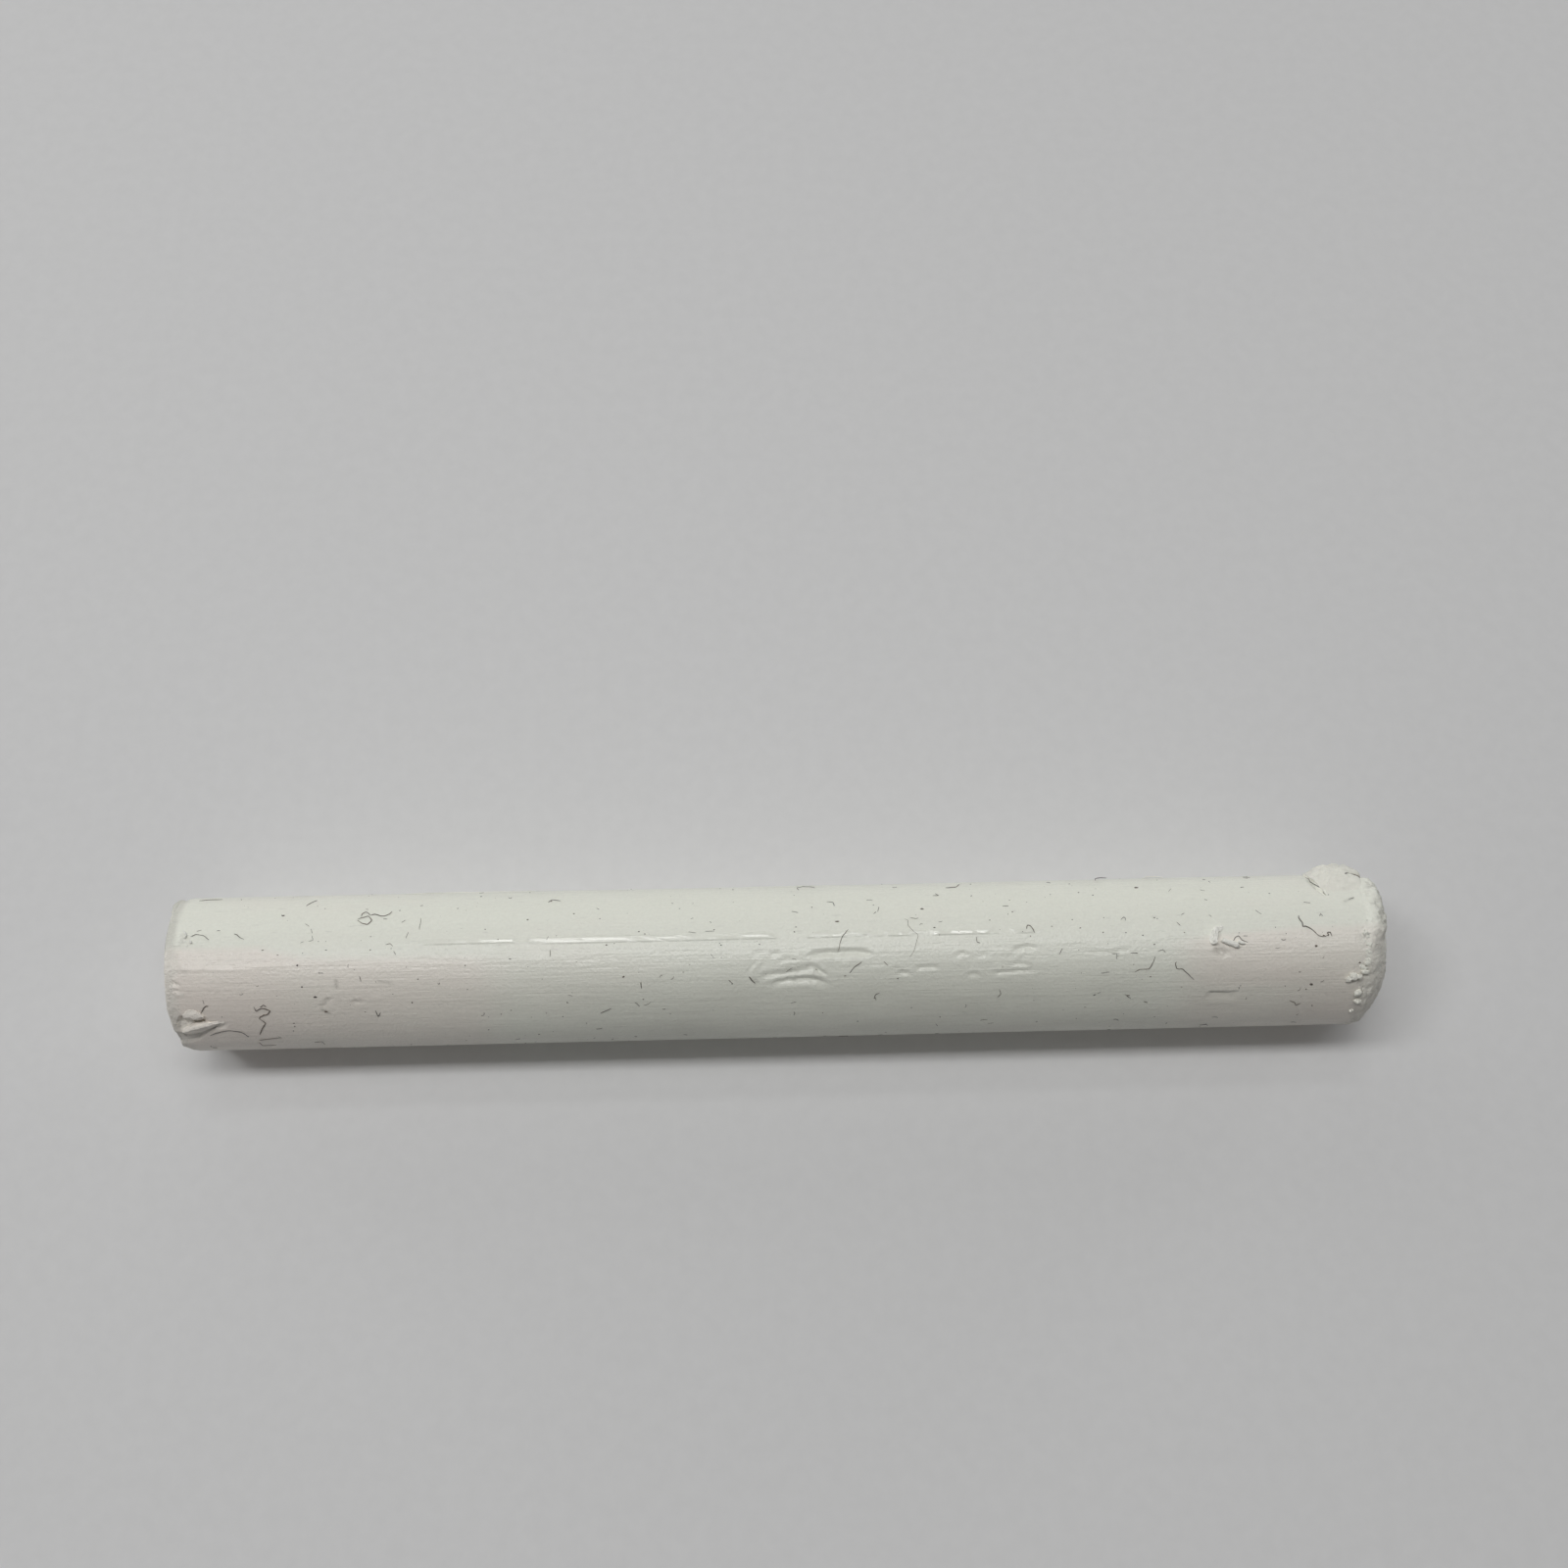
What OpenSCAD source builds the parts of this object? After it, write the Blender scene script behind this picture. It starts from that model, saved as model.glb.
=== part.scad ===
// Round white drawing stick, used and handled: one end cut, the other rubbed round.
// Millimetres. x runs along the stick from the cut end to the rubbed end, y away from the
// front, z up. The origin is on the surface that the stick lies on, under its middle.

/* [Stick] */
// Diameter of the stick
stick_d = 10; // [8:0.5:14]
// Length of the stick between the middles of its two end faces
stick_l = 80; // [76:1:120]
// Width of the flat that the stick lies on
rest_flat_w = 1.4; // [1:0.1:2.4]

/* [Cut end] */
// Lean of the cut face in degrees, with its far side the longer
cut_lean = 3.5; // [0:0.5:6]
// Rounding of the cut end's rim
cut_rim_r = 0.8; // [0.4:0.1:1.4]
// Depth of the chip knocked off the cut end's front corner
chip_depth = 0.8; // [0.6:0.1:1.2]
// Turn of that chip round the stick, in degrees from the top towards the front
chip_turn = 98; // [85:1:110]

/* [Torn place at the cut end] */
// Length of the torn notch from the cut face
tear_l = 4.2; // [3.6:0.1:5]
// Width of the torn notch round the stick
tear_w = 2.8; // [2.4:0.1:3.4]
// Turn of the torn place round the stick, in degrees from the top towards the front
tear_turn = 54; // [45:1:65]
// Depth of the torn notch
tear_depth = 0.6; // [0.45:0.05:0.8]
// Thickness of the flap that stands in the notch, at its thick edge
flap_t = 0.5; // [0.35:0.05:0.6]
// Slope of the flap's upper face in degrees
flap_slope = 12; // [5:1:20]
// Length of the flap
flap_l = 3.2; // [2.6:0.1:3.6]

/* [Rubbed end] */
// Lean of the rubbed face in degrees, with its far side the longer
rub_lean = 4; // [0:0.5:6]
// Rounding of the rubbed end's rim
rub_rim_r = 2.4; // [1.4:0.1:3]
// Length of the stretch before the rubbed face that handling has thinned
thin_l = 5; // [4.5:0.5:8]
// How much the radius has lost at the thin end of that stretch
thin_drop = 0.04; // [0.02:0.01:0.1]

/* [Lifted flake] */
// Distance of the flake's middle from the rubbed face
flake_x = 2.6; // [2.4:0.1:3.2]
// Turn of the flake round the stick, in degrees from the top towards the back
flake_turn = 68; // [55:1:80]
// How far the flake stands proud of the stick
flake_lift = 0.55; // [0.3:0.05:0.8]
// Length of the flake along the stick
flake_l = 3.4; // [2.6:0.1:3.8]
// Width of the flake round the stick
flake_w = 5; // [4:0.2:6]

/* [Nail dents] */
// Length of the longest dent
nail_l = 5; // [3:0.1:6]
// Radius of the groove that one nail edge leaves
nail_r = 0.4; // [0.25:0.05:0.6]
// Depth of the middle group of dents
nail_depth = 0.28; // [0.15:0.01:0.35]
// Depth of the shallow dents
faint_depth = 0.16; // [0.1:0.01:0.25]
// Distance of the middle group from the stick's middle
group_x = 0.8; // [-10:0.2:10]
// Distance of the faint pair from the rubbed face
pair_x = 24.6; // [18:0.2:30]
// Distance of the low nick from the rubbed face
nick_x = 11.4; // [9:0.2:15]

/* [Lifted shaving] */
// Distance of the shaving from the rubbed face
shaving_x = 11.7; // [9:0.1:15]
// Turn of the shaving round the stick, in degrees from the top towards the front
shaving_turn = 4; // [-10:1:12]
// Outer radius of the shaving's curl
curl_r = 0.45; // [0.35:0.05:0.6]
// Thickness of the shaving
curl_t = 0.18; // [0.12:0.02:0.24]
// Width of the shaving along the stick
curl_w = 0.7; // [0.4:0.1:1]
// How far the curl stands proud of the stick
curl_lift = 0.16; // [0.08:0.02:0.2]

/* [Rim crumbs] */
// Diameter of the largest crumb
crumb_d = 0.7; // [0.5:0.05:0.9]
// How much of its diameter a crumb stands proud of the stick
crumb_proud = 0.6; // [0.4:0.05:0.7]

/* [Hidden] */
$fn = 72;

stick_r = stick_d / 2;
half_l = stick_l / 2;
// height of the axis above the flat that the stick lies on
axis_z = sqrt(pow(stick_r, 2) - pow(rest_flat_w / 2, 2));
// how far tools and blocks reach past what they cut
over = 1.5;
// how far outside the stick the rounding of a rim aims, so that a rim shows
rim_aim = 0.15;
// how far the flake's rounded end stands off the rubbed face
flake_end = 0.3;
// slope of the chip across the corner, in degrees
chip_slope = 40;

// Outline of the torn notch as shares of its length and width: x from the face, y up the side
TEAR_OUTLINE = [[-0.5, -0.4], [0.55, -0.36], [1, 0.04], [0.83, 0.32], [0.6, 0.6], [-0.5, 0.54]];
// Outline of the flap as shares of its length and half that: x from its root, y up the side
FLAP_OUTLINE = [[0, -0.35], [0.4, -0.25], [1, 0.2], [0.5, 0.32], [0.1, 0.1]];
// Outline of the flake as shares of its length and width: x along the stick, y down the back
FLAKE_OUTLINE = [
    [-0.5, -0.5], [-0.5, 0.3], [-0.3, 0.46], [0.2, 0.5],
    [0.47, 0.28], [0.5, -0.1], [0.32, -0.34], [-0.2, -0.56]
];
// Nail dents: x, turn, share of the longest dent's length, depth, yaw in degrees
DENTS = [
    [group_x + 0.62 * nail_l, 10, 0.84, nail_depth, 0],
    [group_x, 24, 1, nail_depth, -3],
    [group_x, 32, 0.72, nail_depth, 3],
    [group_x - 0.32 * nail_l, 8, 0.44, faint_depth, 2],
    [half_l - pair_x + 0.1 * nail_l, 10, 0.4, faint_depth, 0],
    [half_l - pair_x, 25, 0.6, faint_depth, 0],
    [half_l - nick_x, 50, 0.44, nail_depth, 0]
];
// Lean of the nail's edge from upright, in degrees
nail_lean = 28;
// Crumbs: distance from the rubbed face, turn in degrees, share of the largest diameter
CRUMBS = [[2.9, 35, 1], [2.5, 40, 0.75], [2.5, 48, 0.65], [2.3, 57, 0.6], [2.3, 68, 0.5]];

// Places children on the stick: x from its middle, turn in degrees from the top to the front
module on_side(x, turn, out = stick_r) {
    translate([x, 0, axis_z]) rotate([turn, 0, 0]) translate([0, 0, out]) children();
}

// Turns what stands on z so that it lies along the stick's axis
module along_stick() {
    translate([0, 0, axis_z]) rotate([0, 90, 0]) children();
}

// What wear takes off an end, with z out of the face: all that is outside a rim rounded at aim_r
module end_waste(rim_r, aim_r = stick_r + rim_aim) {
    rotate_extrude() difference() {
        translate([0, -rim_r]) square([2 * stick_r, rim_r + 2 * over]);
        translate([0, -2 * rim_r]) square([aim_r - rim_r, 2 * rim_r]);
        translate([aim_r - rim_r, -rim_r]) circle(rim_r);
    }
}

module cut_face() {
    translate([-half_l, 0, axis_z]) rotate([0, 0, cut_lean]) rotate([0, -90, 0]) children();
}

module rubbed_face() {
    translate([half_l, 0, axis_z]) rotate([0, 0, -rub_lean]) rotate([0, 90, 0]) children();
}

// The stick with its worn ends and resting flat, before nails and knocks marked it
module worn_stick() {
    difference() {
        along_stick() {
            translate([0, 0, -half_l - over]) cylinder(r = stick_r, h = stick_l + over - thin_l);
            translate([0, 0, half_l - thin_l])
                cylinder(r1 = stick_r, r2 = stick_r - thin_drop, h = thin_l + over);
        }
        translate([-stick_l, -stick_d, -stick_d]) cube([2 * stick_l, 2 * stick_d, stick_d]);
        cut_face() end_waste(cut_rim_r);
        rubbed_face() end_waste(rub_rim_r);
    }
}

// The groove that a nail's curved edge presses, deepest in its middle
module nail_dent(x, turn, long, depth, yaw) {
    reach = pow(long, 2) / (8 * depth);
    on_side(x, turn) rotate([0, 0, yaw]) rotate([90 - nail_lean, 0, 0])
        translate([0, reach - depth, 0])
            rotate_extrude() translate([reach - nail_r, 0]) circle(nail_r, $fn = 24);
}

module corner_chip() {
    side = stick_d;
    on_side(-half_l, chip_turn) rotate([0, -chip_slope, 0])
        translate([-side / 2, -side / 2, -chip_depth]) cube(side);
}

// Floor of the torn notch at the cut face: x to the stick's middle, y up its side, z out
module tear_floor() {
    on_side(-half_l, tear_turn, stick_r - tear_depth) children();
}

module torn_notch() {
    tear_floor() linear_extrude(height = tear_depth + over)
        polygon([for (p = TEAR_OUTLINE) [p[0] * tear_l, p[1] * tear_w]]);
}

module stick() {
    color([0.93, 0.92, 0.88]) difference() {
        worn_stick();
        for (d = DENTS) nail_dent(d[0], d[1], d[2] * nail_l, d[3], d[4]);
        corner_chip();
        torn_notch();
    }
}

// Tongue of the stick's own material, torn loose at the cut end and standing on the notch floor
module torn_flap() {
    color([0.95, 0.94, 0.9]) tear_floor() translate([cut_rim_r, 0, 0]) intersection() {
        linear_extrude(height = flap_t)
            polygon([for (p = FLAP_OUTLINE) [p[0] * flap_l, p[1] * flap_l / 2]]);
        translate([0, 0, flap_t]) rotate([-flap_slope, 0, 0])
            translate([-flap_l, -flap_l, -2 * flap_l]) cube([3 * flap_l, 2 * flap_l, 2 * flap_l]);
    }
}

// Chip of the skin that has lifted at the rubbed end's far corner
module lifted_flake() {
    color([0.95, 0.94, 0.9]) difference() {
        intersection() {
            along_stick() translate([0, 0, half_l - 2 * flake_l])
                cylinder(r = stick_r + flake_lift, h = 2 * flake_l + over);
            on_side(half_l - flake_x, -flake_turn, stick_r / 2) linear_extrude(height = stick_r)
                polygon([for (p = FLAKE_OUTLINE) [p[0] * flake_l, p[1] * flake_w]]);
        }
        rubbed_face() translate([0, 0, -flake_end]) end_waste(rub_rim_r, stick_r + flake_lift);
        worn_stick();
    }
}

// Curled shaving that a nail has raised
module lifted_shaving() {
    color([0.95, 0.94, 0.9]) difference() {
        on_side(half_l - shaving_x, shaving_turn, stick_r + curl_lift - curl_r)
            rotate([0, 90, 0]) difference() {
                cylinder(r = curl_r, h = curl_w, center = true, $fn = 32);
                cylinder(r = curl_r - curl_t, h = 2 * curl_w, center = true, $fn = 32);
            }
        worn_stick();
    }
}

// Crumbs that cling to the rubbed end's rim
module rim_crumbs() {
    color([0.95, 0.94, 0.9]) difference() {
        for (c = CRUMBS)
            on_side(half_l - c[0], c[1], stick_r + (crumb_proud - 0.5) * crumb_d * c[2])
                sphere(d = crumb_d * c[2], $fn = 32);
        worn_stick();
    }
}

stick();
torn_flap();
lifted_flake();
lifted_shaving();
rim_crumbs();
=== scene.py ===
"""White drawing stick, used and handled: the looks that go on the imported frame.

Lengths are in millimetres until a mesh is made, and metres after that. A place on the
stick is (x, turn): x along it from the middle, turn in degrees round its axis from the top
towards the front. "Proud" is the height over the stick's plain surface.
"""

import math

import bpy
import numpy as np
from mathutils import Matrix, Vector


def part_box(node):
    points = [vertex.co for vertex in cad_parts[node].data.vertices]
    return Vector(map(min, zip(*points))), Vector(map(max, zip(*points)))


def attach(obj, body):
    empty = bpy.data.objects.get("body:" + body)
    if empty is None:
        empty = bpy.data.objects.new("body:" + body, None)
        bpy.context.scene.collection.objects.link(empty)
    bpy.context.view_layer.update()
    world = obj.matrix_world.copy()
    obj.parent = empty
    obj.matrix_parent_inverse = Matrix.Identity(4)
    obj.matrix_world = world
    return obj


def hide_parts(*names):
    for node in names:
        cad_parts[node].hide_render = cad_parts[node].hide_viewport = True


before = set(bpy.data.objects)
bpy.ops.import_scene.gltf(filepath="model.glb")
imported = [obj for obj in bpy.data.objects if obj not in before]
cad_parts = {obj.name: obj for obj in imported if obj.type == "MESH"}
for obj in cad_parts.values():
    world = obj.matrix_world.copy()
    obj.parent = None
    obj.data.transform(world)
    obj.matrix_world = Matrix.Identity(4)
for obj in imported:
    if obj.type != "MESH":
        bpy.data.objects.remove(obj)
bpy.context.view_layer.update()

MM = 0.001

# -------- sizes
# The radius and the axis come from the frame. The length, the leans and the thinning are the CAD model's,
# given here as numbers, and the rims are the finer skin's own.
low, high = (np.array(corner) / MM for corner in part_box("stick"))
RADIUS = (high[1] - low[1]) / 2
AXIS_Z = high[2] - RADIUS
HALF_L = 40.0
CUT_LEAN, RUB_LEAN = math.tan(math.radians(3.5)), math.tan(math.radians(4.0))
CUT_RIM, RUB_RIM, RUB_REACH, RIM_AIM = 0.5, 2.5, 1.75, 0.15
LEAN_REACH = 6.0
RIM_SHAPE = 1.35
THIN_L, THIN_DROP = 5.0, 0.04


# -------- small helpers
def smooth(low_edge, high_edge, value):
    """0 below low_edge, 1 above high_edge, and a soft step between them."""
    t = np.clip((value - low_edge) / (high_edge - low_edge), 0, 1)
    return t * t * (3 - 2 * t)


def lattice_noise(x, y, z, seed):
    """Smooth noise from -1 to 1, with features one unit across."""
    table = np.random.default_rng(seed).uniform(-1, 1, 4096)
    xi, yi, zi = (np.floor(a).astype(int) for a in (x, y, z))
    u, v, w = (a - b for a, b in ((x, xi), (y, yi), (z, zi)))
    u, v, w = (a * a * (3 - 2 * a) for a in (u, v, w))

    def corner(dx, dy, dz):
        return table[((xi + dx) * 73 + (yi + dy) * 179 + (zi + dz) * 283) & 4095]

    near = (corner(0, 0, 0) * (1 - u) + corner(1, 0, 0) * u) * (1 - v)
    near += (corner(0, 1, 0) * (1 - u) + corner(1, 1, 0) * u) * v
    far = (corner(0, 0, 1) * (1 - u) + corner(1, 0, 1) * u) * (1 - v)
    far += (corner(0, 1, 1) * (1 - u) + corner(1, 1, 1) * u) * v
    return near * (1 - w) + far * w


def rough(points, size, seed, octaves=3):
    """Noise in several sizes at an array of points, the largest one `size` across."""
    total, weight = 0, 1.0
    for k in range(octaves):
        x, y, z = (points[..., i] / size + 31.7 * k for i in range(3))
        total = total + weight * lattice_noise(x, y, z, seed + k)
        size, weight = size / 2.1, weight / 2
    return total


def crumble(points, size, seed, cracks=False):
    """Crumb-like bumps from -1 to 1, about `size` across, or 1 in the cracks between them."""
    table = np.random.default_rng(seed).uniform(0, 1, (4096, 3))
    p = points / size
    cell = np.floor(p).astype(int)
    first, second = np.full(p.shape[:-1], 9.0), np.full(p.shape[:-1], 9.0)
    for step in np.ndindex(3, 3, 3):
        c = cell + np.array(step) - 1
        at = c + table[(c[..., 0] * 73 + c[..., 1] * 179 + c[..., 2] * 283) & 4095]
        d = ((p - at) ** 2).sum(-1)
        second = np.minimum(second, np.maximum(first, d))
        first = np.minimum(first, d)
    if cracks:
        return smooth(0.16, 0.02, np.sqrt(second) - np.sqrt(first))
    return np.clip(1 - 1.7 * np.sqrt(first), -1, 1)


def curve(points, closed=False, per=8):
    """A smooth line (Catmull-Rom) through the given points."""
    p = np.array(points, float)
    n = len(p)
    if n < 3 and not closed:
        t = np.linspace(0, 1, per * 2)[:, None]
        return p[0] * (1 - t) + p[-1] * t
    out = []
    for i in range(n) if closed else range(n - 1):
        if closed:
            a, b, c, d = (p[(i + k) % n] for k in (-1, 0, 1, 2))
        else:
            b, c = p[i], p[i + 1]
            a = p[i - 1] if i else 2 * b - c
            d = p[i + 2] if i + 2 < n else 2 * c - b
        for t in np.arange(per) / per:
            out.append(
                0.5
                * (2 * b + (c - a) * t + (2 * a - 5 * b + 4 * c - d) * t**2 + (3 * b - a - 3 * c + d) * t**3)
            )
    if not closed:
        out.append(p[-1])
    return np.array(out)


def arc_mm(turn):
    """A turn in degrees as a length round the stick."""
    return np.radians(turn) * RADIUS


def skin_faces(rows, cols, flipped=False):
    """Faces of a closed skin: rings of points first to last, then the two end middles."""
    index = np.arange(rows * cols).reshape(rows, cols)
    right = np.roll(index, -1, 1)
    quads = np.stack([index[:-1], index[1:], right[1:], right[:-1]], -1).reshape(-1, 4)
    faces = [tuple(reversed(q)) if flipped else tuple(q) for q in quads.tolist()]
    for middle, a, b in ((rows * cols, index[0], right[0]), (rows * cols + 1, right[-1], index[-1])):
        a, b = (b, a) if flipped else (a, b)
        faces += [(middle, i, j) for i, j in zip(a.tolist(), b.tolist())]
    return faces


# -------- the stick's outline
def steps(*stretches):
    """x values for stretches of (end, step), each starting where the last one ended."""
    at, out = stretches[0], []
    for end, step in stretches[1:]:
        count = max(1, round((end - at) / step))
        out.extend(at + (end - at) * np.arange(count) / count)
        at = end
    return out + [at]


def outline():
    """Half the stick's outline as (x, r), from the middle of the cut face to the other."""
    cut_c, rub_c = RADIUS + RIM_AIM - CUT_RIM, RADIUS - THIN_DROP * 0.7 - RUB_RIM
    cut_a = math.asin((RADIUS - cut_c) / CUT_RIM)
    points = [(-HALF_L, r) for r in np.linspace(0.15, cut_c, 19)]
    for a in np.linspace(0, cut_a, 9)[1:]:
        points.append((-HALF_L + CUT_RIM * (1 - math.cos(a)), cut_c + CUT_RIM * math.sin(a)))
    start, stop = points[-1][0], HALF_L - RUB_REACH
    for x in steps(
        start, (-35.2, 0.1), (-24, 0.2), (-3, 0.36), (6.5, 0.1), (11, 0.15), (17.2, 0.11),
        (27, 0.3), (31, 0.12), (35.4, 0.22), (stop, 0.09),
    )[1:-1]:
        points.append((x, RADIUS - THIN_DROP * max(0, (x - HALF_L + THIN_L) / THIN_L)))
    for a in np.linspace(math.pi / 2, 0, 35):
        across, out = math.sin(a) ** RIM_SHAPE, math.cos(a) ** RIM_SHAPE
        points.append((HALF_L - RUB_REACH * (1 - out), rub_c + RUB_RIM * across))
    points += [(HALF_L, r) for r in np.linspace(rub_c, 0.12, 23)[1:]]
    return np.array(points)


OUTLINE = outline()
along = np.gradient(OUTLINE, axis=0)
along /= np.linalg.norm(along, axis=1)[:, None]
OUT_DIR = np.stack([-along[:, 1], along[:, 0]], 1)
SHAFT = OUTLINE[:, 1] > RADIUS - RUB_RIM * 0.8


def place(x, r, turn):
    """Points in the row frame, in mm, with each end's lean."""
    t = np.radians(turn)
    y, z = -r * np.sin(t), AXIS_Z + r * np.cos(t)
    cut = smooth(LEAN_REACH, 0, x + HALF_L)
    rub = smooth(LEAN_REACH, 0, HALF_L - x)
    x = x + y * (rub * RUB_LEAN - cut * CUT_LEAN)
    return np.stack(np.broadcast_arrays(x, y, z), -1)


def oval(x, turn):
    """The far side is a little out of round, most towards the cut end."""
    inner = smooth(-39.9, -39.2, x) * smooth(37.5, 34.5, x)
    return inner * (0.12 + 0.1 * smooth(10, -38, x)) * np.exp(-(((turn + 82) / 32) ** 2))


def on_stick(x, turn, proud=0.0):
    """Points over the stick's plain surface at (x, turn)."""
    x = np.asarray(x, float)
    rows = OUTLINE[SHAFT]
    dirs = OUT_DIR[SHAFT]
    order = np.argsort(rows[:, 0])
    r = np.interp(x, rows[order, 0], rows[order, 1])
    nx = np.interp(x, rows[order, 0], dirs[order, 0])
    nr = np.interp(x, rows[order, 0], dirs[order, 1])
    proud = proud + oval(x, turn)
    return place(x + nx * proud, r + nr * proud, turn)


# -------- relief of the stick
class Relief:
    """Proud heights over the stick's grid, and how torn (matt and rough) it is there."""

    def __init__(self, x, turn, shaft):
        self.x, self.v = x, arc_mm(turn)
        self.shaft = shaft
        self.high = np.zeros(x.shape)
        self.torn = np.zeros(x.shape)
        flat = np.stack([x, self.v, 0 * x], -1)
        self.wobble = 0.05 * rough(flat, 0.42, 81, 3), 0.055 * rough(flat, 0.34, 84, 3)
        # how dark the surface is made: real smudges, and painted shade on the lower side, on the cut end's
        # rim and in the cracks
        self.stain_and_shade = np.zeros(x.shape)
        self.polish = np.zeros(x.shape)

    def near(self, line, margin):
        lo, hi = line.min(0) - margin, line.max(0) + margin
        inside = (self.x > lo[0]) & (self.x < hi[0]) & (self.v > lo[1]) & (self.v < hi[1])
        return np.nonzero(inside & self.shaft)

    def across(self, line, where):
        """Signed distance from a line (plus is below it) and the share of the way along."""
        px = (self.x + self.wobble[0])[where][:, None]
        pv = (self.v + self.wobble[1])[where][:, None]
        a, b = line[:-1], line[1:]
        d = b - a
        long = np.maximum((d**2).sum(1), 1e-9)
        t = np.clip(((px - a[:, 0]) * d[:, 0] + (pv - a[:, 1]) * d[:, 1]) / long, 0, 1)
        ox, ov = px - a[:, 0] - t * d[:, 0], pv - a[:, 1] - t * d[:, 1]
        dist = np.hypot(ox, ov)
        best = dist.argmin(1)
        row = np.arange(len(best))
        side = np.sign(d[best, 0] * ov[row, best] - d[best, 1] * ox[row, best])
        return dist[row, best] * np.where(side == 0, 1, side), (best + t[row, best]) / len(a)

    def dent(self, points, depth, wall, slope, lip=0.0, taper=0.22, torn=0.0, pressed=0.55):
        """A nail's mark: a steep wall along the line, and a long slope back up below it."""
        line = curve([(x, arc_mm(t)) for x, t in points])
        where = self.near(line, wall + slope + 0.2)
        d, share = self.across(line, where)
        ends = smooth(0, taper, share) * smooth(0, taper, 1 - share)
        down = smooth(-wall / 2, wall / 2, d)
        back = np.clip((d - wall / 2) / slope, 0, 1)
        back = 1 - 0.6 * back - 0.4 * smooth(0, 1, back)
        depth = depth * (1 + 3 * self.wobble[0][where])
        self.high[where] -= depth * ends * down * back
        edge = np.exp(-(((d + wall * 0.9) / (0.5 * wall + 0.03)) ** 2))
        edge += np.exp(-(((d - slope - wall) / (0.3 * slope + 0.04)) ** 2))
        self.high[where] += lip * ends * edge
        self.torn[where] = np.maximum(self.torn[where], torn * ends * down * back)
        self.polish[where] = np.maximum(self.polish[where], pressed * ends * down * back)

    def ridge(self, points, height, width, taper=0.3, torn=0.0):
        """A low rounded ridge, or with a negative height a scratch or crease."""
        line = curve([(x, arc_mm(t)) for x, t in points])
        where = self.near(line, width * 3)
        d, share = self.across(line, where)
        ends = smooth(0, taper, share) * smooth(0, taper, 1 - share)
        bump = np.exp(-((d / width) ** 2)) * ends
        self.high[where] += height * bump
        self.torn[where] = np.maximum(self.torn[where], torn * bump)

    def dark_mark(self, points, width, strength):
        """A soft dark mark along (x, turn) points."""
        line = curve([(x, arc_mm(t)) for x, t in points])
        where = self.near(line, width * 3)
        d, _ = self.across(line, where)
        mark = strength * np.exp(-((d / width) ** 2))
        self.stain_and_shade[where] = np.maximum(self.stain_and_shade[where], mark)

    def patch(self, points, height, edge=0.3, torn=0.0, grain=0.0, size=0.5, seed=1):
        """An area inside a given border, raised or sunk, with its own roughness."""
        border = curve([(x, arc_mm(t)) for x, t in points], closed=True, per=5)
        loop = np.vstack([border, border[:1]])
        where = self.near(loop, edge * 2)
        px, pv = self.x[where], self.v[where]
        d, _ = self.across(loop, where)
        odd = np.zeros(len(px), bool)
        for (ax, av), (bx, bv) in zip(loop[:-1], loop[1:]):
            if av != bv:
                odd ^= ((av > pv) != (bv > pv)) & (px < (bx - ax) * (pv - av) / (bv - av) + ax)
        inside = np.where(odd, 1, -1) * np.abs(d)
        share = smooth(-edge / 2, edge / 2, inside)
        bumps = rough(np.stack([px, pv, 0 * px], -1), size, seed)
        self.high[where] += share * (height + grain * bumps)
        self.torn[where] = np.maximum(self.torn[where], torn * share)


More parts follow.
